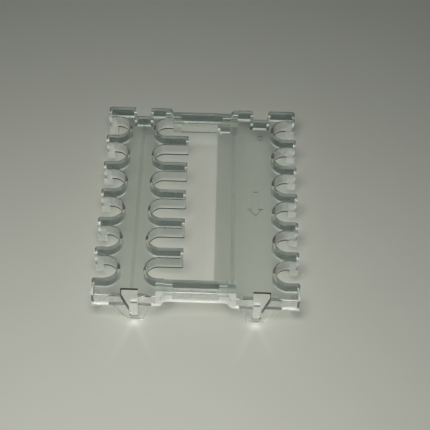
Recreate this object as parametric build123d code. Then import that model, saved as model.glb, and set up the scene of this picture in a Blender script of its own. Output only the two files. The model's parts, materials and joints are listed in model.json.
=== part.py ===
"""Clear plastic comb frame: two slotted panels joined by two crossbars, standing on four feet.

Millimetres, +Z up.  The origin is on the table, under the middle of the frame.  +X is to the
right and +Y to the back; the arrow on the right panel points to the front (-Y).
"""
import os

from build123d import *

# ---------------------------------------------------------------- driving dimensions
FRAME_WIDTH = 98.0
FRAME_LENGTH = 120.0
STAND_HEIGHT = 19.7          # table to the top face
WALL_HEIGHT = 7.6            # top face to the lower edge of the skirt walls
SKIN = 1.4                   # thickness of the top skin
WALL = 1.3                   # thickness of the skirt walls

ROWS = 6                     # slots along each comb
ROW_PITCH = 18.0
REAR_RIM = 7.4               # back edge of the frame to the first slot
EDGE_FINGER_WIDTH = 5.6      # fingers between the slots along the frame's sides
COMB_FINGER_WIDTH = 6.5      # fingers of the middle comb
EDGE_SLOT_DEPTH = 11.5
COMB_ROOT = 25.1             # left edge of the frame to the closed ends of the middle slots
COMB_TIP = 42.4              # left edge of the frame to the tips of the middle fingers
WINDOW_EDGE = 57.4           # left edge of the frame to the right side of the central opening
TIP_RADIUS = 1.5             # rounding of the finger tips, in plan
CORNER_RADIUS = 1.4          # rounding of the four corners of the frame, in plan

BAR_LENGTH = 30.0
REAR_BAR_WIDTH = 7.5
FRONT_BAR_WIDTH = 7.6
BAR_RECESS = 2.6             # how far each crossbar is set back from the panels' outer faces
STEP_CHAMFER = 1.6           # length along X of the sloping step beside each crossbar
JOINT_BLOCK = 4.0            # solid length at each end of a bar, and in the panel beside it
DOWEL_RADIUS = 1.1
DOWEL_DROP = 4.4             # top face to the middle of a dowel
GLUE_GAP = 0.03              # radial room for cement round a dowel
PLUG_GAP = 0.1               # room for cement round a plug inside the skirt walls

KEY_FROM_EDGE = 13.8         # side of the frame to the outer side of a rear notch and front window
KEY_WIDTH = 8.2
NOTCH_DEPTH = 6.2
NOTCH_TAPER = 1.0            # how much narrower a notch is at its inner end
WINDOW_DEPTH = 4.5           # how far a front window reaches in from the front face
WINDOW_SLOPE_DROP = 12.3     # top face to the lower end of the window's sloping side
WINDOW_LOW_WIDTH = 4.4       # width of the window below its sloping side
SILL_DROP = 16.5             # top face to the sill of the window

LEG_THICKNESS = 2.4
LEG_TOP_OUT = 8.2            # from the side of the frame to the leg's outer corner, at the wall
LEG_TOP_WIDTH = 20.1
LEG_FOOT_OUT = 16.8          # from the side of the frame to the leg's outer corner, on the table
LEG_FOOT_WIDTH = 7.4
TENON_MARGIN = 1.3           # how far the leg's tenon stops short of its upper corners

TONGUE_WIDTH = 3.2
TONGUE_THICKNESS = 1.5
TONGUE_DROP = 6.4            # top face to the free end of the latch tongue
TONGUE_SIDE_GAP = 0.3
PIVOT_CLEARANCE = 0.05       # radial, round the tongue's rounded root
TOOTH_REACH = 1.2
TOOTH_LENGTH = 3.8

TAB_LENGTH = 4.2             # along X, from the side of the frame
TAB_DROP = 12.4              # top face to the lower end of a hanging tab
POST_DROP = 8.8              # top face to the lower end of a front corner post
TAB_ROUND = 0.5

LEFT_RIB_FROM_EDGE = 18.0
LEFT_RIB_WIDTH = 1.6
LEFT_RIB_DEPTH = 2.0
RIGHT_RIB_FROM_EDGE = 31.1
RIGHT_RIB_WIDTH = 1.7

MARK_DEPTH = 0.3             # engraving of the arrow and the moulding mark
MARK_LINE = 0.6
ARROW_FROM_EDGE = 21.0
ARROW_TAIL = 4.7             # Y of the arrow's tail
ARROW_LENGTH = 15.7
ARROW_SHAFT_WIDTH = 3.2
ARROW_HEAD_WIDTH = 8.0
ARROW_HEAD_LENGTH = 4.8
GATE_MARK_FROM_EDGE = 18.6
GATE_MARK_FROM_BACK = 19.4
GATE_MARK_RADIUS = 1.6

# ---------------------------------------------------------------- places worked out from them
LEFT, RIGHT = -1, 1
HALF_WIDTH = FRAME_WIDTH / 2
HALF_LENGTH = FRAME_LENGTH / 2
TOP = STAND_HEIGHT
WALL_BOTTOM = TOP - WALL_HEIGHT
SKIN_BOTTOM = TOP - SKIN
SILL = TOP - SILL_DROP
JOINT_X = BAR_LENGTH / 2
REAR_BAR_BACK = HALF_LENGTH - BAR_RECESS
REAR_BAR_FRONT = REAR_BAR_BACK - REAR_BAR_WIDTH
FRONT_BAR_FRONT = -HALF_LENGTH + BAR_RECESS
FRONT_BAR_BACK = FRONT_BAR_FRONT + FRONT_BAR_WIDTH
ROOT_X = -HALF_WIDTH + COMB_ROOT
TIP_X = -HALF_WIDTH + COMB_TIP
OPENING_RIGHT_X = -HALF_WIDTH + WINDOW_EDGE
LEG_BACK = -HALF_LENGTH + LEG_THICKNESS
TONGUE_MIDDLE_Y = -HALF_LENGTH + LEG_THICKNESS / 2
FAR = 2 * FRAME_LENGTH       # longer than anything it cuts
EDGE_SLOT_WIDTH = ROW_PITCH - EDGE_FINGER_WIDTH
COMB_SLOT_WIDTH = ROW_PITCH - COMB_FINGER_WIDTH
FIRST_SLOT = HALF_LENGTH - REAR_RIM - EDGE_SLOT_WIDTH / 2
SLOT_MIDDLES = [FIRST_SLOT - ROW_PITCH * row for row in range(ROWS)]
FINGER_MIDDLES = [y - ROW_PITCH / 2 for y in SLOT_MIDDLES[:-1]]


def rectangle(x0, x1, y0, y1):
    """A rectangle in plan, between two X and two Y values."""
    return Pos((x0 + x1) / 2, (y0 + y1) / 2) * Rectangle(x1 - x0, y1 - y0)


def block(x0, x1, y0, y1, z0, z1):
    """A box between pairs of X, Y and Z values, each given in either order."""
    middle = ((x0 + x1) / 2, (y0 + y1) / 2, (z0 + z1) / 2)
    return Pos(*middle) * Box(abs(x1 - x0), abs(y1 - y0), abs(z1 - z0))


def raised(plan, z0, z1):
    """Raise a plan outline into a solid from z0 to z1."""
    return extrude(Pos(0, 0, z0) * plan, z1 - z0)


def front_profile(points, y0, y1):
    """A solid whose X-Z outline is the given points, running from y0 to y1."""
    outline = make_face(Polyline(*[(x, y0, z) for x, z in points], close=True))
    return extrude(outline, y1 - y0, dir=(0, 1, 0))


def solid_of(shape):
    """The single solid of a shape that should be one piece."""
    solids = shape.solids()
    if len(solids) != 1:
        raise ValueError(f"expected one solid, found {len(solids)}")
    return solids[0]


# ---------------------------------------------------------------- slotted panels
def edge_slots(side, inset):
    """The open-ended slots along one side of the frame, in plan, widened by inset all round."""
    radius = EDGE_SLOT_WIDTH / 2
    closed_x = HALF_WIDTH - EDGE_SLOT_DEPTH + radius
    cuts = Sketch()
    for y in SLOT_MIDDLES:
        straight = rectangle(closed_x, FAR, y - radius - inset, y + radius + inset)
        cuts += straight + Pos(closed_x, y) * Circle(radius + inset)
    return mirror(cuts, Plane.YZ) if side == LEFT else cuts


def comb_slots(inset):
    """The slots between the middle fingers, in plan, open towards the central opening."""
    radius = COMB_SLOT_WIDTH / 2
    cuts = Sketch()
    for y in SLOT_MIDDLES:
        straight = rectangle(ROOT_X + radius, FAR, y - radius - inset, y + radius + inset)
        cuts += straight + Pos(ROOT_X + radius, y) * Circle(radius + inset)
    return cuts


def rear_notch(side, inset):
    """The notch in the back edge, in plan: straight on its inner side, slanted on its outer."""
    outer = HALF_WIDTH - KEY_FROM_EDGE + inset
    inner = HALF_WIDTH - KEY_FROM_EDGE - KEY_WIDTH - inset
    floor = HALF_LENGTH - NOTCH_DEPTH - inset
    corners = [(inner, FAR), (inner, floor), (outer - NOTCH_TAPER, floor), (outer, HALF_LENGTH),
               (outer, FAR)]
    return make_face(Polyline(*[(side * x, y) for x, y in corners], close=True))


def step_cuts(side):
    """The two corners taken off a panel beside the crossbars, in plan."""
    cuts = Sketch()
    for end in (-1, 1):
        corners = [(JOINT_X + STEP_CHAMFER, HALF_LENGTH), (JOINT_X, HALF_LENGTH - BAR_RECESS),
                   (JOINT_X - 1, HALF_LENGTH - BAR_RECESS), (JOINT_X - 1, HALF_LENGTH + 1),
                   (JOINT_X + STEP_CHAMFER, HALF_LENGTH + 1)]
        cuts += make_face(Polyline(*[(side * x, end * y) for x, y in corners], close=True))
    return cuts


def left_plan(inset, joint_inset):
    """The left panel in plan: edge fingers, web and middle fingers, shrunk by inset."""
    web = rectangle(-HALF_WIDTH + inset, -JOINT_X - joint_inset,
                    -HALF_LENGTH + inset, HALF_LENGTH - inset)
    fingers = rectangle(ROOT_X - COMB_SLOT_WIDTH, TIP_X - inset, SLOT_MIDDLES[-1], SLOT_MIDDLES[0])
    return web + fingers - comb_slots(inset)


def right_plan(inset, joint_inset):
    """The right panel in plan: edge fingers, web and the strip beside the central opening."""
    web = rectangle(JOINT_X + joint_inset, HALF_WIDTH - inset,
                    -HALF_LENGTH + inset, HALF_LENGTH - inset)
    strip = rectangle(OPENING_RIGHT_X + inset, JOINT_X + joint_inset + WALL,
                      FRONT_BAR_BACK + inset, REAR_BAR_FRONT - inset)
    return web + strip


def soften(plan, side):
    """Round the frame's corners and the tips of the fingers, in plan."""
    outer_x = side * HALF_WIDTH
    tips = [v for v in plan.vertices() if abs(v.X - outer_x) < 0.01]
    corners = [v for v in tips if abs(abs(v.Y) - HALF_LENGTH) < 0.01]
    plan = fillet([v for v in tips if v not in corners], TIP_RADIUS)
    corners = [v for v in plan.vertices()
               if abs(v.X - outer_x) < 0.01 and abs(abs(v.Y) - HALF_LENGTH) < 0.01]
    plan = fillet(corners, CORNER_RADIUS)
    comb_tips = [v for v in plan.vertices() if side == LEFT and abs(v.X - TIP_X) < 0.01]
    return fillet(comb_tips, TIP_RADIUS / 2) if comb_tips else plan


def panel(side):
    """One slotted panel: a thin top skin with skirt walls hanging from every edge."""
    plan = left_plan if side == LEFT else right_plan
    outline = plan(0, 0) - edge_slots(side, 0) - rear_notch(side, 0) - step_cuts(side)
    hollow = plan(WALL, JOINT_BLOCK) - edge_slots(side, WALL) - rear_notch(side, WALL)
    body = raised(soften(outline, side), WALL_BOTTOM, TOP)
    body -= raised(hollow, WALL_BOTTOM - 1, SKIN_BOTTOM)
    body -= key_window(side)
    for end in (-1, 1):
        body -= dowel(side, end, DOWEL_RADIUS + GLUE_GAP, 2 * JOINT_BLOCK + 1)
    return body


def key_window(side):
    """The opening in the front of a panel and down through its leg, with one sloping side."""
    inner = HALF_WIDTH - KEY_FROM_EDGE - KEY_WIDTH
    outer = HALF_WIDTH - KEY_FROM_EDGE
    points = [(inner, TOP + 1), (inner, SILL), (inner + WINDOW_LOW_WIDTH, SILL),
              (inner + WINDOW_LOW_WIDTH, TOP - WINDOW_SLOPE_DROP), (outer, TOP), (outer, TOP + 1)]
    return front_profile([(side * x, z) for x, z in points],
                         -HALF_LENGTH - 1, -HALF_LENGTH + WINDOW_DEPTH)


def arrow_engraving():
    """The grooves of the outline arrow on the right panel, pointing to the front."""
    x = HALF_WIDTH - ARROW_FROM_EDGE
    neck = ARROW_TAIL - ARROW_LENGTH + ARROW_HEAD_LENGTH
    half_shaft, half_head = ARROW_SHAFT_WIDTH / 2, ARROW_HEAD_WIDTH / 2
    corners = [(-half_shaft, ARROW_TAIL), (half_shaft, ARROW_TAIL), (half_shaft, neck),
               (half_head, neck), (0, ARROW_TAIL - ARROW_LENGTH), (-half_head, neck),
               (-half_shaft, neck)]
    outline = make_face(Polyline(*[(x + dx, y) for dx, y in corners], close=True))
    groove = outline - offset(outline, -MARK_LINE, kind=Kind.INTERSECTION)
    return raised(groove, TOP - MARK_DEPTH, TOP + 1)


def gate_mark():
    """The ring left on the right panel where the plastic entered the mould."""
    ring = Circle(GATE_MARK_RADIUS) - Circle(GATE_MARK_RADIUS - MARK_LINE)
    place = Pos(HALF_WIDTH - GATE_MARK_FROM_EDGE, HALF_LENGTH - GATE_MARK_FROM_BACK)
    return raised(place * ring, TOP - MARK_DEPTH, TOP + 1)


# ---------------------------------------------------------------- crossbars, dowels and ribs
def dowel(side, end, radius, length):
    """A round pin along X, centred on one of the four joints between a bar and a panel."""
    if end > 0:
        y = (REAR_BAR_BACK + SLOT_MIDDLES[0] + COMB_SLOT_WIDTH / 2) / 2
    else:
        y = (FRONT_BAR_FRONT + FRONT_BAR_BACK) / 2
    return Pos(side * JOINT_X, y, TOP - DOWEL_DROP) * Rot(0, 90, 0) * Cylinder(radius, length)


def crossbar(end):
    """A hollow bar between the panels, open below, with solid ends drilled for the dowels."""
    y0, y1 = (REAR_BAR_FRONT, REAR_BAR_BACK) if end > 0 else (FRONT_BAR_FRONT, FRONT_BAR_BACK)
    bar = block(-JOINT_X, JOINT_X, y0, y1, WALL_BOTTOM, TOP)
    bar -= block(-JOINT_X + JOINT_BLOCK, JOINT_X - JOINT_BLOCK, y0 + WALL, y1 - WALL,
                 WALL_BOTTOM - 1, SKIN_BOTTOM)
    for side in (LEFT, RIGHT):
        bar -= dowel(side, end, DOWEL_RADIUS + GLUE_GAP, 2 * JOINT_BLOCK + 1)
    return bar


def joint_dowels():
    """The four equal dowels, one in each joint."""
    return Compound([solid_of(dowel(side, end, DOWEL_RADIUS, 2 * JOINT_BLOCK))
                     for side in (LEFT, RIGHT) for end in (-1, 1)])


def left_rib():
    """The shallow rib under the left web, from the notch's wall to the window."""
    x = -HALF_WIDTH + LEFT_RIB_FROM_EDGE
    return block(x, x + LEFT_RIB_WIDTH, -HALF_LENGTH + WINDOW_DEPTH,
                 HALF_LENGTH - NOTCH_DEPTH - WALL, SKIN_BOTTOM - LEFT_RIB_DEPTH, SKIN_BOTTOM)


def right_rib():
    """The full-depth rib under the right web, in line with the ends of the crossbars."""
    x = HALF_WIDTH - RIGHT_RIB_FROM_EDGE
    return block(x - RIGHT_RIB_WIDTH, x, FRONT_BAR_BACK + WALL, REAR_BAR_FRONT - WALL,
                 WALL_BOTTOM, SKIN_BOTTOM)


# ---------------------------------------------------------------- legs and latch tongues
def leg(side):
    """A tapered front leg, with a tenon behind the front wall and a seat for the tongue."""
    top_out, foot_out = HALF_WIDTH - LEG_TOP_OUT, HALF_WIDTH - LEG_FOOT_OUT
    taper = [(top_out, WALL_BOTTOM), (top_out - LEG_TOP_WIDTH, WALL_BOTTOM),
             (foot_out - LEG_FOOT_WIDTH, 0), (foot_out, 0)]
    plate = front_profile([(side * x, z) for x, z in taper], -HALF_LENGTH, LEG_BACK)
    plate += block(side * (top_out - TENON_MARGIN), side * (top_out - LEG_TOP_WIDTH + TENON_MARGIN),
                   -HALF_LENGTH + WALL, LEG_BACK, WALL_BOTTOM, SKIN_BOTTOM)
    seat = tongue_root(side, TONGUE_THICKNESS / 2 + PIVOT_CLEARANCE, WINDOW_LOW_WIDTH, 0)
    return plate - key_window(side) - seat


def tongue_root(side, radius, length, gap):
    """The round root of a tongue along X, starting a gap away from the window's inner side."""
    x = HALF_WIDTH - KEY_FROM_EDGE - KEY_WIDTH + gap + length / 2
    return Pos(side * x, TONGUE_MIDDLE_Y, SILL) * Rot(0, 90, 0) * Cylinder(radius, length)


def latch_tongue(side):
    """A springy tongue that stands on the window's sill, with a tooth behind its free end."""
    x0 = HALF_WIDTH - KEY_FROM_EDGE - KEY_WIDTH + TONGUE_SIDE_GAP
    free_end = TOP - TONGUE_DROP
    front, back = TONGUE_MIDDLE_Y - TONGUE_THICKNESS / 2, TONGUE_MIDDLE_Y + TONGUE_THICKNESS / 2
    side_view = [(front, SILL), (back, SILL), (back, free_end - TOOTH_LENGTH),
                 (back + TOOTH_REACH, free_end - TOOTH_LENGTH / 3), (back + TOOTH_REACH, free_end),
                 (front, free_end)]
    face = make_face(Polyline(*[(side * x0, y, z) for y, z in side_view], close=True))
    blade = extrude(face, TONGUE_WIDTH, dir=(side, 0, 0))
    return blade + tongue_root(side, TONGUE_THICKNESS / 2, TONGUE_WIDTH, TONGUE_SIDE_GAP)


# ---------------------------------------------------------------- tabs, rear feet and posts
def tab(side, y_middle, drop):
    """A block hanging from a panel's edge, with a plug that fills the hollow between its walls."""
    outer = HALF_WIDTH
    bottom = TOP - drop
    foot = block(side * (outer - TAB_LENGTH), side * outer,
                 y_middle - EDGE_FINGER_WIDTH / 2, y_middle + EDGE_FINGER_WIDTH / 2, bottom, WALL_BOTTOM)
    foot = fillet(foot.edges().filter_by(Axis.Y).group_by(Axis.Z)[0], TAB_ROUND)
    half_plug = EDGE_FINGER_WIDTH / 2 - WALL - PLUG_GAP
    plug = block(side * (outer - TAB_LENGTH), side * (outer - WALL - PLUG_GAP),
                 y_middle - half_plug, y_middle + half_plug, WALL_BOTTOM, SKIN_BOTTOM)
    return foot + plug


def save(name, shape):
    """Write one sub-part to its own STEP file."""
    export_step(shape, os.path.join("parts", name + ".step"))


def main():
    os.makedirs("parts", exist_ok=True)
    save("left_comb_panel", solid_of(panel(LEFT)))
    save("right_edge_panel", solid_of(panel(RIGHT) - arrow_engraving() - gate_mark()))
    save("rear_crossbar", solid_of(crossbar(1)))
    save("front_crossbar", solid_of(crossbar(-1)))
    save("joint_dowels", joint_dowels())
    save("left_web_rib", left_rib())
    save("right_web_rib", right_rib())
    rear_foot_y = SLOT_MIDDLES[0] + EDGE_SLOT_WIDTH / 2 + EDGE_FINGER_WIDTH / 2
    for side, word in ((LEFT, "left"), (RIGHT, "right")):
        save(f"{word}_front_leg", solid_of(leg(side)))
        save(f"{word}_latch_tongue", solid_of(latch_tongue(side)))
        save(f"{word}_rear_foot", solid_of(tab(side, rear_foot_y, STAND_HEIGHT)))
        save(f"{word}_corner_post", solid_of(tab(side, -HALF_LENGTH + EDGE_FINGER_WIDTH / 2, POST_DROP)))
        for number, y in enumerate(FINGER_MIDDLES, start=1):
            save(f"{word}_finger_tab_{number}", solid_of(tab(side, y, TAB_DROP)))


main()
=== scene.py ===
"""Clear plastic comb frame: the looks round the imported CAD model, in metres."""
import json
import math

import bmesh
import bpy
import numpy
from mathutils import Matrix, Vector

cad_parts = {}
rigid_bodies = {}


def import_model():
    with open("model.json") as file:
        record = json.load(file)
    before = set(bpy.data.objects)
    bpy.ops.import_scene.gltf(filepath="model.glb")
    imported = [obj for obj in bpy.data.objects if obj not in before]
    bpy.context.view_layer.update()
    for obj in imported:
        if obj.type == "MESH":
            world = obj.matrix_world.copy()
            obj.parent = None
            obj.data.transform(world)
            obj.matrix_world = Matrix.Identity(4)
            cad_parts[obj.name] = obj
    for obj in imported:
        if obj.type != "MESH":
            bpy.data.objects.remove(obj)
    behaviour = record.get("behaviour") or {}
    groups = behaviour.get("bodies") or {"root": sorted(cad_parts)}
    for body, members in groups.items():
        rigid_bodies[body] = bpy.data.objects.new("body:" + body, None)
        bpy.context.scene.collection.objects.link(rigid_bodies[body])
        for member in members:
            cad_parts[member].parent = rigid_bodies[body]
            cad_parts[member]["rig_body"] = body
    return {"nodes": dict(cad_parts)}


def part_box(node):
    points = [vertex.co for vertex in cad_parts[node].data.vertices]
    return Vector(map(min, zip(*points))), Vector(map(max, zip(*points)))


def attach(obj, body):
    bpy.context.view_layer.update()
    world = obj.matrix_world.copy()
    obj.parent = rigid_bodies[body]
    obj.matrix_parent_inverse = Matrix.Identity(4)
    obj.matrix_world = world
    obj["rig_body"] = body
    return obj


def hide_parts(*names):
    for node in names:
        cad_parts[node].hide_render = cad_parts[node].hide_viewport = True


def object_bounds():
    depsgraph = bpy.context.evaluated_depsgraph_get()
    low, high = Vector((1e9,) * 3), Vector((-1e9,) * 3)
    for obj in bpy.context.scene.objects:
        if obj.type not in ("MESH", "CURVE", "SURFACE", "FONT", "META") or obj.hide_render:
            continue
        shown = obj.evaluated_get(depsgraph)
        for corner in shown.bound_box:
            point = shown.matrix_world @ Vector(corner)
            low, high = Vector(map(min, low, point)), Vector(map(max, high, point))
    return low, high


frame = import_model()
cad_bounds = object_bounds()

# ---------------------------------------------------------------- sizes and places
MM = 0.001
LOW, HIGH = cad_bounds
TOP_Z = HIGH.z
FLOOR_Z = LOW.z

# The camera looks down over the front edge, a little to the right of the middle.
CAMERA_AIM = Vector((8.1 * MM, -10.7 * MM, TOP_Z))
CAMERA_DISTANCE = 544 * MM
CAMERA_TILT = math.radians(37.8)     # from straight down
CAMERA_YAW = math.radians(0.6)
CAMERA_ROLL = math.radians(-2.2)
CAMERA_LENS = 92.6                   # on a 36 mm sensor

EDGE_ROUND = 0.14 * MM
EDGE_ROUND_ANGLE = math.radians(40)  # edges sharper than this are rounded
FIT_GAP = 0.015 * MM                 # left round a piece that fits against another
WELD = 0.002 * MM                    # vertices closer than this are one
IOR = 1.49
THIN_IOR = 1.3                       # for the legs, tongues and tabs, which look clearer
FACE_IOR = 1.25                      # for the front wall

# How faces are told apart by where they are.
NEAR = 0.1 * MM                      # this close is the same place
TOP_BAND = 0.5 * MM                  # an outer wall reaches into this band below the top
FRONT_BAND = 4 * MM                  # a wall this near the front face belongs to the front wall
JOINT_BLOCK = 4 * MM                 # length of the solid block on each side of a joint
BLOCK_SHADE_REACH = 1.2 * MM         # how far a block's shade reaches in from its back edge
DOWEL_AROUND = 1.3 * MM              # from a dowel's middle to the middle of any face of its hole
DOWEL_PAST = 1 * MM                  # how far a dowel's hole goes on past the dowel
TONGUE_EDGE = 0.9 * MM               # depth of the painted dark strip along a tongue's top

# Places read from the CAD model.
WALL_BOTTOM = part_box("rear_crossbar")[0].z
BAR_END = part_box("rear_crossbar")[1].x
BAR_INNER_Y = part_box("rear_crossbar")[0].y - 3 * MM
BLOCK_INNER, BLOCK_OUTER = BAR_END - JOINT_BLOCK, BAR_END + JOINT_BLOCK
LEG_INNER, LEG_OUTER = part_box("right_front_leg")[0].x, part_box("right_front_leg")[1].x
TONGUE_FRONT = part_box("right_latch_tongue")[0].y
TAB_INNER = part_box("right_finger_tab_1")[0].x
REAR_BAR_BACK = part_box("rear_crossbar")[1].y
FRONT_BAR_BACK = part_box("front_crossbar")[1].y
FRONT_Y = LOW.y
DOWEL_LOW, DOWEL_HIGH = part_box("joint_dowels")
DOWEL_Z = (DOWEL_LOW.z + DOWEL_HIGH.z) / 2
DOWEL_RADIUS = (DOWEL_HIGH.z - DOWEL_LOW.z) / 2
DOWEL_YS = [DOWEL_LOW.y + DOWEL_RADIUS, DOWEL_HIGH.y - DOWEL_RADIUS]
DOWEL_REACH = DOWEL_HIGH.x

# Colours, in linear light.
FLAT = (0.765, 0.78, 0.768)
WALL = (0.80, 0.85, 0.82)
MILK = (0.86, 0.87, 0.84)
# Painted shade: the dark colour of the painted bands on walls that look to the back, and of the blocks'
# painted shade
PAINTED_BAND_SHADE = (0.22, 0.28, 0.27)
SHADE = (0.56, 0.57, 0.56)       # the share of a lamp's light that one flat surface lets through
WALL_SHADE = (0.90, 0.91, 0.90)  # and one upright surface


# ---------------------------------------------------------------- materials
def nodes_of(material):
    """The node tree of a new material, cleared, with its output node."""
    material.use_nodes = True
    tree = material.node_tree
    tree.nodes.clear()
    output = tree.nodes.new("ShaderNodeOutputMaterial")
    return tree, output


def math_node(tree, operation, first, second=None, clamp=False):
    node = tree.nodes.new("ShaderNodeMath")
    node.operation = operation
    node.use_clamp = clamp
    for socket, value in zip(node.inputs, (first, second)):
        if isinstance(value, (int, float)):
            socket.default_value = value
        elif value is not None:
            tree.links.new(value, socket)
    return node.outputs[0]


def noise(tree, scale, detail=2.0, roughness=0.5):
    place = tree.nodes.new("ShaderNodeTexCoord")
    texture = tree.nodes.new("ShaderNodeTexNoise")
    texture.inputs["Scale"].default_value = scale
    texture.inputs["Detail"].default_value = detail
    texture.inputs["Roughness"].default_value = roughness
    tree.links.new(place.outputs["Object"], texture.inputs["Vector"])
    return texture.outputs["Fac"]


def ramp(tree, factor, stops):
    """A colour ramp with (position, colour) stops."""
    node = tree.nodes.new("ShaderNodeValToRGB")
    elements = node.color_ramp.elements
    while len(elements) > 1:
        elements.remove(elements[-1])
    elements[0].position = stops[0][0]
    elements[0].color = (*stops[0][1], 1)
    for position, colour in stops[1:]:
        element = elements.new(position)
        element.color = (*colour, 1)
    tree.links.new(factor, node.inputs["Fac"])
    return node.outputs["Color"]


def clear_plastic(name, flat=None, wall=None, facing_shade=None, frost=0.0, milk=None, ior=IOR,
                  painted_cover=None, painted_colours=None, painted_rim_glow=None, glow=0.0):
    """Clear moulded plastic.

    The tints of flats and walls differ, and the facing tint is a painted shade for walls that look
    along Y.  Frost is how milky a surface is, more so towards its lower edge.  The painted cover is
    how much of a wall that looks along Y is covered by a painted band of shade with a painted
    highlight at its lower rim, in the painted colours, both by depth below the top.  Glow is a
    painted glow, standing in for the light that the plastic pipes to its rims.
    """
    material = bpy.data.materials.new(name)
    tree, output = nodes_of(material)
    geometry = tree.nodes.new("ShaderNodeNewGeometry")
    parts = tree.nodes.new("ShaderNodeSeparateXYZ")
    tree.links.new(geometry.outputs["True Normal"], parts.inputs[0])
    upright = math_node(tree, "SUBTRACT", 1.0, math_node(tree, "ABSOLUTE", parts.outputs["Z"]), True)
    flow = math_node(tree, "MULTIPLY", math_node(tree, "SUBTRACT", noise(tree, 70, 3), 0.5), 0.3)
    tint = ramp(tree, math_node(tree, "ADD", upright, flow, True),
                [(0.1, flat or FLAT), (0.9, wall or WALL)])
    facing = math_node(tree, "MULTIPLY", math_node(tree, "ABSOLUTE", parts.outputs["Y"]), 1.6, True)
    # Walls that look along Y get a darker tint: painted shade
    if facing_shade:
        darker = tree.nodes.new("ShaderNodeMix")
        darker.data_type = "RGBA"
        tree.links.new(facing, darker.inputs["Factor"])
        tree.links.new(tint, darker.inputs["A"])
        darker.inputs["B"].default_value = (*facing_shade, 1)
        tint = darker.outputs["Result"]
    gloss = math_node(tree, "ADD", 0.02, math_node(tree, "MULTIPLY", noise(tree, 260, 4), 0.1))
    shader = tree.nodes.new("ShaderNodeBsdfPrincipled")
    tree.links.new(tint, shader.inputs["Base Color"])
    tree.links.new(gloss, shader.inputs["Roughness"])
    shader.inputs["Transmission Weight"].default_value = 1
    shader.inputs["IOR"].default_value = ior
    # Glow: a painted glow of emission, standing in for light that the plastic pipes to its rims
    shader.inputs["Emission Color"].default_value = (0.98, 1.0, 0.96, 1)
    shader.inputs["Emission Strength"].default_value = glow
    bump = tree.nodes.new("ShaderNodeBump")
    bump.inputs["Strength"].default_value = 0.15
    bump.inputs["Distance"].default_value = 0.00012
    tree.links.new(noise(tree, 160, 2), bump.inputs["Height"])
    tree.links.new(bump.outputs["Normal"], shader.inputs["Normal"])
    surface = shader
    if frost:
        surface = mixed(tree, milkiness(tree, frost), surface, matt(tree, milk or MILK))
    # A painted band of shade with a painted highlight at its lower rim, laid on walls that look along Y
    if painted_cover:
        cover = math_node(tree, "MULTIPLY", facing, ramp(tree, depth(tree), painted_cover))
        surface = mixed(tree, cover, surface, matt_by_depth(tree, painted_colours, painted_rim_glow))
    path = tree.nodes.new("ShaderNodeLightPath")
    pass_light = tree.nodes.new("ShaderNodeBsdfTransparent")
    shade = ramp(tree, upright, [(0.2, SHADE), (0.8, WALL_SHADE)])
    tree.links.new(shade, pass_light.inputs["Color"])
    surface = mixed(tree, path.outputs["Is Shadow Ray"], surface, pass_light)
    tree.links.new(surface.outputs[0], output.inputs["Surface"])
    return material


def mixed(tree, factor, first, second):
    node = tree.nodes.new("ShaderNodeMixShader")
    tree.links.new(factor, node.inputs["Fac"])
    tree.links.new(first.outputs[0], node.inputs[1])
    tree.links.new(second.outputs[0], node.inputs[2])
    return node


def matt(tree, colour):
    node = tree.nodes.new("ShaderNodeBsdfDiffuse")
    node.inputs["Color"].default_value = (*colour, 1)
    return node


def matt_by_depth(tree, stops, painted_rim_glow):
    """Painted shade and highlight, matt, with a painted rim glow, by depth below the top."""
    node = tree.nodes.new("ShaderNodeBsdfDiffuse")
    tree.links.new(ramp(tree, depth(tree), stops), node.inputs["Color"])
    if not painted_rim_glow:
        return node
    lit = tree.nodes.new("ShaderNodeEmission")
    tree.links.new(ramp(tree, depth(tree), painted_rim_glow), lit.inputs["Color"])
    both = tree.nodes.new("ShaderNodeAddShader")
    tree.links.new(node.outputs[0], both.inputs[0])
    tree.links.new(lit.outputs[0], both.inputs[1])
    return both


def depth(tree):
    """How far down the skirt walls a point is, from 0 at the top to 1 at their lower edge."""
    place = tree.nodes.new("ShaderNodeTexCoord")
    parts = tree.nodes.new("ShaderNodeSeparateXYZ")
    tree.links.new(place.outputs["Object"], parts.inputs[0])
    below = math_node(tree, "SUBTRACT", TOP_Z, parts.outputs["Z"])
    return math_node(tree, "DIVIDE", below, TOP_Z - WALL_BOTTOM, True)


def milkiness(tree, frost):
    """A factor round frost, a little uneven, and rising towards the lower edge of the walls."""
    rising = math_node(tree, "ADD", 0.7 * frost, math_node(tree, "MULTIPLY", depth(tree), 0.35 * frost))
    speckle = math_node(tree, "MULTIPLY", math_node(tree, "SUBTRACT", noise(tree, 900, 2), 0.5),
                        0.4 * frost)
    return math_node(tree, "ADD", rising, speckle, True)


def grey(value):
    return (value, value, value)


def hidden_joinery(name, tint):
    """Joinery set in cement of the same clearness: barely seen, with only a trace of its edges."""
    material = bpy.data.materials.new(name)
    tree, output = nodes_of(material)
    shader = tree.nodes.new("ShaderNodeBsdfPrincipled")
    shader.inputs["Base Color"].default_value = (*tint, 1)
    shader.inputs["Roughness"].default_value = 0.15
    shader.inputs["Transmission Weight"].default_value = 1
    shader.inputs["IOR"].default_value = IOR
    clear = tree.nodes.new("ShaderNodeBsdfTransparent")
    clear.inputs["Color"].default_value = (*tint, 1)
    mix = tree.nodes.new("ShaderNodeMixShader")
    uneven = math_node(tree, "ADD", 0.8, math_node(tree, "MULTIPLY", noise(tree, 300, 2), 0.2), True)
    tree.links.new(uneven, mix.inputs["Fac"])
    tree.links.new(shader.outputs[0], mix.inputs[1])
    tree.links.new(clear.outputs[0], mix.inputs[2])
    tree.links.new(mix.outputs[0], output.inputs["Surface"])
    return material


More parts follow.
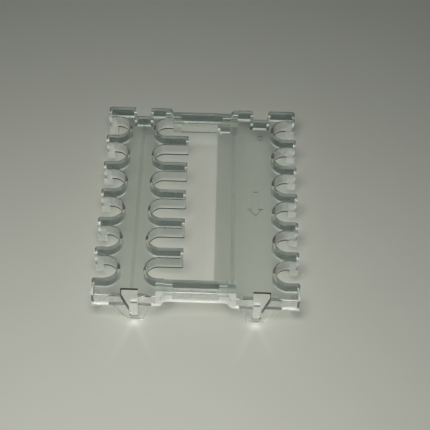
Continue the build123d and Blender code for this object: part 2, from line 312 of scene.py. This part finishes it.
def pale_laminate():
    """A pale, faintly mottled table top, with painted light where the plastic throws light on it."""
    material = bpy.data.materials.new("pale_laminate")
    tree, output = nodes_of(material)
    shader = tree.nodes.new("ShaderNodeBsdfPrincipled")
    # thrown_light: painted pools and streaks of light, standing in for caustics from the plastic
    thrown = tree.nodes.new("ShaderNodeAttribute")
    thrown.attribute_name = "thrown_light"
    mottle = math_node(tree, "MULTIPLY", math_node(tree, "SUBTRACT", noise(tree, 35, 5, 0.6), 0.5),
                       0.12)
    grain = math_node(tree, "MULTIPLY", math_node(tree, "SUBTRACT", noise(tree, 900, 2), 0.5), 0.05)
    level = math_node(tree, "ADD", math_node(tree, "ADD", 0.5, mottle), grain, True)
    table = ramp(tree, level, [(0.3, (0.57, 0.58, 0.525)), (0.7, (0.66, 0.67, 0.605))])
    lit = tree.nodes.new("ShaderNodeMix")
    lit.data_type = "RGBA"
    tree.links.new(math_node(tree, "MULTIPLY", thrown.outputs["Fac"], 1.0, True),
                   lit.inputs["Factor"])
    tree.links.new(table, lit.inputs["A"])
    lit.inputs["B"].default_value = (0.99, 0.97, 0.92, 1)
    tree.links.new(lit.outputs["Result"], shader.inputs["Base Color"])
    shader.inputs["Roughness"].default_value = 0.5
    tree.links.new(shader.outputs[0], output.inputs["Surface"])
    return material


# ---------------------------------------------------------------- pieces
def pull_in(shape, gap):
    """Move every face of a fitted piece in by the hair's breadth left round it."""
    moves = []
    for vertex in shape.verts:
        normals = []
        for face in vertex.link_faces:
            if all(face.normal.dot(other) < 0.9995 for other in normals):
                normals.append(face.normal.copy())
        answer = numpy.linalg.lstsq(numpy.array(normals), numpy.full(len(normals), -gap), rcond=None)
        moves.append((vertex, Vector(answer[0])))
    for vertex, move in moves:
        vertex.co += move


def reaches_top(face):
    return max(v.co.z for v in face.verts) > TOP_Z - TOP_BAND


def outward(face):
    """How far a wall's face looks to the back, counted outwards from the plastic's hollow."""
    return face.normal.y if reaches_top(face) else -face.normal.y


def mark_outer_walls(shape, is_bar):
    """Give their own materials to outer walls that look to the back and to the front."""
    for face in shape.faces:
        if reaches_top(face) and abs(face.normal.z) < 0.3 and abs(face.normal.y) > 0.1:
            if face.normal.y > 0:
                face.material_index = BACK_WALL
            else:
                near_front = face.calc_center_median().y < FRONT_Y + FRONT_BAND
                face.material_index = FRONT_FACE if near_front or is_bar else FRONT_WALL


def mark_finger_ends(shape):
    """Show the tabs' blocks in the outer ends of the edge fingers' front walls."""
    for x in (-TAB_INNER, TAB_INNER):
        walls = [f for f in shape.faces if f.material_index == FRONT_WALL]
        cut(shape, walls, (x, 0, 0), (1, 0, 0))
    for face in shape.faces:
        if face.material_index == FRONT_WALL and abs(face.calc_center_median().x) > TAB_INNER:
            face.material_index = TAB


def cut(shape, faces, place, normal):
    """Split the given faces where a plane crosses them."""
    parts = set(faces)
    for face in faces:
        parts.update(face.edges)
        parts.update(face.verts)
    bmesh.ops.bisect_plane(shape, geom=list(parts), dist=1e-7, plane_co=place, plane_no=normal)


def mark_window(shape):
    """Give painted shade to the edges of the latch window, which are seen edge-on."""
    for face in shape.faces:
        middle, normal = face.calc_center_median(), face.normal
        slanted = abs(normal.x) > 0.1 and abs(normal.z) > 0.1
        in_window = FRONT_Y + 3 * MM < middle.y < FRONT_Y + 6 * MM and middle.z > TOP_Z - 3 * MM
        back = normal.y < -0.9 and in_window and abs(middle.x) > BLOCK_OUTER
        if slanted or back:
            face.material_index = WINDOW_SIDE


def cut_rims(shape):
    """Split the lower rims of the walls beside the solid joint blocks, and into triangles."""
    for x in (BLOCK_INNER, BAR_END, BLOCK_OUTER, LEG_INNER, LEG_OUTER):
        cut(shape, lower_rims(shape), (x, 0, 0), (1, 0, 0))
        cut(shape, lower_rims(shape), (-x, 0, 0), (1, 0, 0))
    for y in (FRONT_BAR_BACK, REAR_BAR_BACK, HIGH.y):
        cut(shape, lower_rims(shape), (0, y - BLOCK_SHADE_REACH, 0), (0, 1, 0))
    bmesh.ops.triangulate(shape, faces=lower_rims(shape))


def lower_rims(shape):
    return [f for f in shape.faces
            if f.normal.z < -0.9 and abs(f.verts[0].co.z - WALL_BOTTOM) < NEAR]


def mark_lower_rims(shape):
    """Tell the lower rims of walls that look to the back from those that look to the front."""
    cut_rims(shape)
    for face in lower_rims(shape):
        middle = face.calc_center_median()
        in_block = BLOCK_INNER < abs(middle.x) < BLOCK_OUTER and abs(middle.y) > BAR_INNER_Y
        walls = [other for edge in face.edges for other in edge.link_faces
                 if abs(other.normal.z) < 0.3]
        looks = sum(outward(wall) for wall in walls)
        # Rims near the front get a painted glow, except beside the legs. Block bottoms get painted
        # shade near their back edge and, by the front bar, the painted highlight of the back rims.
        # Other rims get the painted highlight under back walls, or the painted dark line under front
        # walls.
        if middle.y < FRONT_Y + FRONT_BAND:
            face.material_index = PLAIN if LEG_INNER < abs(middle.x) < LEG_OUTER else LIT_RIM
        elif in_block:
            rear_edge = REAR_BAR_BACK if abs(middle.x) < BAR_END else HIGH.y
            back_edge = rear_edge if middle.y > 0 else FRONT_BAR_BACK
            pale = BACK_RIM if middle.y < 0 else JOINERY
            shaded = middle.y > back_edge - BLOCK_SHADE_REACH
            face.material_index = BLOCK_SHADE if shaded else pale
        elif looks > 0.25:
            face.material_index = BACK_RIM
        elif looks < -0.25:
            face.material_index = FRONT_RIM


def mark_joinery(shape, node):
    """Mark dowels and their holes, ribs, plugs, tenons and joint blocks, and the engraving."""
    moulded = node.endswith(("panel", "bar"))
    for face in shape.faces:
        middle, upright = face.calc_center_median(), abs(face.normal.z) < 0.1
        by_dowel = any(abs(middle.y - y) < DOWEL_AROUND for y in DOWEL_YS)
        in_hole = by_dowel and abs(middle.z - DOWEL_Z) < DOWEL_AROUND and abs(face.normal.x) < 0.1 \
            and abs(middle.x) < DOWEL_REACH + DOWEL_PAST
        if node.endswith(("rib", "dowels")) or (moulded and in_hole):
            face.material_index = JOINERY
        if not (moulded or node.endswith("tongue")) and middle.z > WALL_BOTTOM + NEAR:
            face.material_index = JOINERY
        below_top = max(v.co.z for v in face.verts) < TOP_Z - 1 * MM
        by_joint = abs(middle.y) > BAR_INNER_Y
        in_block = BLOCK_INNER - NEAR < abs(middle.x) < BLOCK_OUTER + NEAR
        if moulded and by_joint and below_top and in_block and upright:
            face.material_index = JOINERY
        if node.endswith("panel") and TOP_Z - TOP_BAND < middle.z < TOP_Z - NEAR / 2 \
                and min(v.co.z for v in face.verts) > TOP_Z - TOP_BAND:
            face.material_index = ENGRAVED
        if moulded and by_joint and abs(abs(middle.x) - BAR_END) < NEAR and abs(face.normal.x) > 0.9:
            face.material_index = JOINERY


def mark_tongue_and_leg(shape, node):
    """Paint shade on the front strip of a tongue's top, and the sill and sloping sides of a leg's
    window.
    """
    edge = TONGUE_FRONT + TONGUE_EDGE
    if node.endswith("tongue"):
        cut(shape, [f for f in shape.faces if f.normal.z > 0.9], (0, edge, 0), (0, 1, 0))
    for face in shape.faces:
        middle, up = face.calc_center_median(), face.normal.z
        strip = node.endswith("tongue") and up > 0.9 and middle.y < edge
        sill = node.endswith("leg") and up > 0.9 and middle.z < TOP_Z / 3
        slope = node.endswith("leg") and up > 0.1 and abs(face.normal.x) > 0.1
        if strip or sill or slope:
            face.material_index = WINDOW_SIDE


def clear_piece(node):
    """A finished copy of a CAD node: whole faces, eased edges and clear plastic."""
    cad = frame["nodes"][node]
    name = node + "_clear"
    mesh = cad.data.copy()
    mesh.name = name
    mesh.materials.clear()
    shape = bmesh.new()
    shape.from_mesh(mesh)
    bmesh.ops.remove_doubles(shape, verts=shape.verts, dist=WELD)
    bmesh.ops.dissolve_limit(shape, angle_limit=math.radians(1), verts=shape.verts,
                             edges=shape.edges)
    if not node.endswith("panel"):
        pull_in(shape, FIT_GAP)
    for face in shape.faces:
        plan = max(abs(face.normal.x), abs(face.normal.y))
        face.smooth = plan < 0.9999 and abs(face.normal.z) < 0.01
        face.material_index = PLAIN
    if node.endswith(("panel", "crossbar")):
        mark_outer_walls(shape, node.endswith("crossbar"))
        mark_finger_ends(shape)
        mark_lower_rims(shape)
        mark_window(shape)
    elif not node.endswith(("rib", "dowels")):
        for face in shape.faces:
            face.material_index = {"tongue": TONGUE, "leg": LEG}.get(node.split("_")[-1], TAB)
    mark_joinery(shape, node)
    mark_tongue_and_leg(shape, node)
    shape.to_mesh(mesh)
    shape.free()
    piece = bpy.data.objects.new(name, mesh)
    bpy.context.scene.collection.objects.link(piece)
    for material in PLASTICS:
        mesh.materials.append(material)
    bevel = piece.modifiers.new("eased_edges", "BEVEL")
    bevel.width = EDGE_ROUND
    bevel.segments = 2
    bevel.limit_method = "ANGLE"
    bevel.angle_limit = EDGE_ROUND_ANGLE
    bevel.harden_normals = True
    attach(piece, cad["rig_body"])
    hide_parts(node)


# The places of the materials in each piece's list.
PLAIN, BACK_WALL, FRONT_WALL, BACK_RIM, FRONT_RIM, JOINERY, LEG, FRONT_FACE, TONGUE, TAB, \
    ENGRAVED, BLOCK_SHADE, LIT_RIM, WINDOW_SIDE = range(14)
CLEAR, CLEARER = (0.95, 0.96, 0.95), (0.93, 0.95, 0.94)
# Painted bands by depth below the top. Back walls get painted shade, with a painted highlight and a
# painted glow at the lower rim. Front walls get painted shade like the web's, a painted highlight, and
# a painted dark line at the lower rim.
BACK_PAINTED_COVER = [(0.0, grey(0.62)), (0.82, grey(0.62)), (0.88, grey(0.9))]
BACK_COLOURS = [(0.0, PAINTED_BAND_SHADE), (0.82, PAINTED_BAND_SHADE), (0.88, (0.97, 0.98, 0.95))]
BACK_PAINTED_RIM_GLOW = [(0.0, grey(0.0)), (0.82, grey(0.0)), (0.89, grey(0.26)), (1.0, grey(0.32))]
FRONT_PAINTED_COVER = [(0.0, grey(0.8)), (0.8, grey(0.8)), (0.88, grey(0.95))]
FRONT_COLOURS = [(0.0, (0.60, 0.62, 0.585)), (0.55, (0.64, 0.66, 0.62)), (0.84, (0.95, 0.96, 0.93)),
                 (0.88, (0.95, 0.96, 0.93)), (0.91, (0.05, 0.06, 0.055))]
PLASTICS = [clear_plastic("clear_plastic"),
            # Back walls: a painted band of shade, with a painted highlight and a painted glow at the
            # lower rim
            clear_plastic("clear_plastic_back_walls", facing_shade=(0.50, 0.57, 0.54),
                          painted_cover=BACK_PAINTED_COVER, painted_colours=BACK_COLOURS, painted_rim_glow=BACK_PAINTED_RIM_GLOW),
            # Front walls: painted shade, and a painted highlight over a painted dark line at the lower
            # rim
            clear_plastic("clear_plastic_front_walls", facing_shade=(0.76, 0.79, 0.77),
                          painted_cover=FRONT_PAINTED_COVER, painted_colours=FRONT_COLOURS),
            # Rims under back walls, and block bottoms by the front bar: milky, with a painted glow as
            # their highlight
            clear_plastic("clear_plastic_back_rims", frost=0.8, glow=0.22),
            # Rims under front walls: a painted dark line
            clear_plastic("clear_plastic_front_rims", flat=(0.06, 0.07, 0.065)),
            hidden_joinery("clear_joinery", (0.96, 0.97, 0.96)),
            clear_plastic("clear_plastic_legs", CLEAR, CLEARER, frost=0.1, ior=THIN_IOR),
            clear_plastic("clear_plastic_front_face", FLAT, CLEAR, frost=0.2, ior=FACE_IOR),
            # Tongues: milky, with a painted glow
            clear_plastic("clear_plastic_tongues", CLEAR, CLEAR, frost=0.6, ior=THIN_IOR, glow=0.2),
            clear_plastic("clear_plastic_tabs", CLEAR, CLEARER, frost=0.5, ior=THIN_IOR),
            # Engraving: a darker tint in the groove, painted shade
            clear_plastic("clear_plastic_engraving", (0.70, 0.72, 0.71), (0.58, 0.6, 0.59)),
            # Blocks' painted shade, carrying on the painted band of the back walls
            clear_plastic("clear_plastic_block_shade", (0.5, 0.57, 0.54), frost=0.62, milk=PAINTED_BAND_SHADE),
            # Rims near the front: milky, with a painted glow
            clear_plastic("clear_plastic_front_rims_lit", frost=0.9, glow=0.5),
            # Window sides, leg sills and the tongues' front strips: painted shade
            clear_plastic("clear_plastic_window_sides", (0.3, 0.33, 0.32), (0.3, 0.33, 0.32), frost=0.6,
                          milk=(0.11, 0.13, 0.125))]

for node in sorted(frame["nodes"]):
    clear_piece(node)


# ---------------------------------------------------------------- stage, lights and camera
TONGUE_BOXES = [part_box(side + "_latch_tongue") for side in ("left", "right")]
FEET = [((low.x + high.x) / 2, LOW.y) for low, high in TONGUE_BOXES]
TAB_BOXES = [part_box(f"{side}_finger_tab_{number}")
             for side in ("left", "right") for number in range(1, 6)]
TAB_SPOTS = [((low.x + high.x) / 2, low.y) for low, high in TAB_BOXES]

# A spot of painted light, as if thrown through the plastic: its strength, its size along X and Y, and
# how far in front it falls.
FOOT_SPOT = (0.55, 4.2 * MM, 1.6 * MM, 2 * MM)
TAB_SPOT = (0.35, 2.6 * MM, 2.2 * MM, 1.5 * MM)
# A painted streak of light that runs forward from a foot: its strength, width, length and angle to each
# side.
STREAK, STREAK_WIDTH, STREAK_LENGTH, STREAK_LEAN = 0.4, 1.7 * MM, 9 * MM, 0.42


def spot(dx, dy, strength, wide, deep, ahead):
    return strength * math.exp(-(dx / wide) ** 2 - ((dy + ahead) / deep) ** 2)


def thrown_light(x, y):
    """How bright the painted light, as if thrown through the feet and tabs, makes a point of the table.
    """
    total = 0.0
    for foot_x, foot_y in FEET:
        dx, dy = x - foot_x, y - foot_y
        total += spot(dx, dy, *FOOT_SPOT)
        for lean in (-STREAK_LEAN, STREAK_LEAN):
            along = -dy * math.cos(lean) + dx * math.sin(lean)
            across = dx * math.cos(lean) + dy * math.sin(lean)
            if along > 0:
                total += STREAK * math.exp(-(across / STREAK_WIDTH) ** 2 - along / STREAK_LENGTH)
    for tab_x, tab_y in TAB_SPOTS:
        total += spot(x - tab_x, y - tab_y, *TAB_SPOT)
    return total


def spread(low, high, step, far):
    """Coordinates with a fine step between low and high, and coarse steps out to far."""
    count = int((high - low) / step)
    fine = [low + (high - low) * n / count for n in range(count + 1)]
    return [-far, -far / 4, -far / 12] + fine + [far / 12, far / 4, far]


def floor():
    """The table top, with a fine grid round the frame to carry the painted light thrown on it."""
    xs = spread(LOW.x - 0.02, HIGH.x + 0.02, 1 * MM, 3.0)
    ys = spread(LOW.y - 0.05, HIGH.y + 0.02, 1 * MM, 3.0)
    mesh = bpy.data.meshes.new("floor")
    wide = len(xs)
    corners = [(x, y, FLOOR_Z) for y in ys for x in xs]
    squares = [(j * wide + i, j * wide + i + 1, (j + 1) * wide + i + 1, (j + 1) * wide + i)
               for j in range(len(ys) - 1) for i in range(wide - 1)]
    mesh.from_pydata(corners, [], squares)
    brightness = mesh.attributes.new("thrown_light", "FLOAT", "POINT")
    brightness.data.foreach_set("value", [thrown_light(x, y) for x, y, z in corners])
    plane = bpy.data.objects.new("floor", mesh)
    plane.data.materials.append(pale_laminate())
    bpy.context.scene.collection.objects.link(plane)


def area_light(name, place, aim, size, power, colour):
    data = bpy.data.lights.new(name, "AREA")
    data.shape = "RECTANGLE"
    data.size, data.size_y = size
    data.energy = power
    data.color = colour
    lamp = bpy.data.objects.new(name, data)
    lamp.location = place
    lamp.visible_transmission = False
    lamp.rotation_mode = "QUATERNION"
    lamp.rotation_quaternion = (Vector(aim) - Vector(place)).to_track_quat("-Z", "Y")
    bpy.context.scene.collection.objects.link(lamp)


def camera():
    data = bpy.data.cameras.new("camera")
    data.sensor_width = 36
    data.lens = CAMERA_LENS
    eye = bpy.data.objects.new("camera", data)
    bpy.context.scene.collection.objects.link(eye)
    turn = Matrix.Rotation(-CAMERA_YAW, 4, "Z") @ Matrix.Rotation(CAMERA_TILT, 4, "X") \
        @ Matrix.Rotation(-CAMERA_ROLL, 4, "Z")
    back = turn.to_3x3() @ Vector((0, 0, 1))
    eye.matrix_world = Matrix.Translation(CAMERA_AIM + back * CAMERA_DISTANCE) @ turn
    data.clip_start, data.clip_end = 0.01, 20
    bpy.context.scene.camera = eye


def world():
    sky = bpy.data.worlds.new("studio")
    sky.use_nodes = True
    sky.node_tree.nodes["Background"].inputs["Color"].default_value = (0.85, 1.0, 0.95, 1)
    sky.node_tree.nodes["Background"].inputs["Strength"].default_value = 0.08
    bpy.context.scene.world = sky


floor()
world()
area_light("soft_overhead", (-0.03, -0.16, 0.36), (-0.03, -0.16, 0), (0.16, 0.12), 0.95,
           (1.0, 0.985, 0.95))
camera()
bpy.context.scene.view_settings.view_transform = "Standard"
